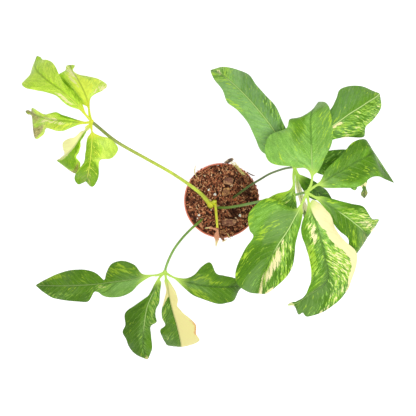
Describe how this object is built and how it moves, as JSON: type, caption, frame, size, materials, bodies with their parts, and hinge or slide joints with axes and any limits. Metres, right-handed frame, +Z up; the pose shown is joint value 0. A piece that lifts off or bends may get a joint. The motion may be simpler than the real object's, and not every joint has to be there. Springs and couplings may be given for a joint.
{
  "type": "potted anthurium",
  "caption": "Variegated houseplant with lobed palmate leaves on long arching stalks, growing from bark mix in a round tapered nursery pot.",
  "frame": {"origin": "centre of the pot's underside", "axes": "+Z up along the pot's axis; +X towards the largest leaf; +Y away from the viewer, up in a view from above"},
  "size_m": [0.4476, 0.3914, 0.2783],
  "materials": {
    "terracotta_plastic": "satin",
    "bark_mix": "matte",
    "bark": "matte",
    "lime_stalk": "satin",
    "green_stalk": "satin",
    "lime_blade": "satin",
    "green_blade": "satin",
    "pink_sheath": "matte"
  },
  "bodies": {
    "root": {"pot": "terracotta_plastic", "potting_mix": "bark_mix", "bark_chip_1": "bark", "bark_chip_2": "bark", "bark_chip_3": "bark", "bark_chip_4": "bark", "rim_flake": "bark", "young_leaf_stalk": "lime_stalk", "young_leaf_blades": "lime_blade", "low_leaf_stalk": "green_stalk", "low_leaf_blades": "green_blade", "under_leaf_stalk": "green_stalk", "under_leaf_blades": "green_blade", "top_leaf_stalk": "green_stalk", "top_leaf_blades": "green_blade", "new_shoot_stalk": "lime_stalk", "new_shoot_sheath": "pink_sheath"}
  },
  "joints": []
}
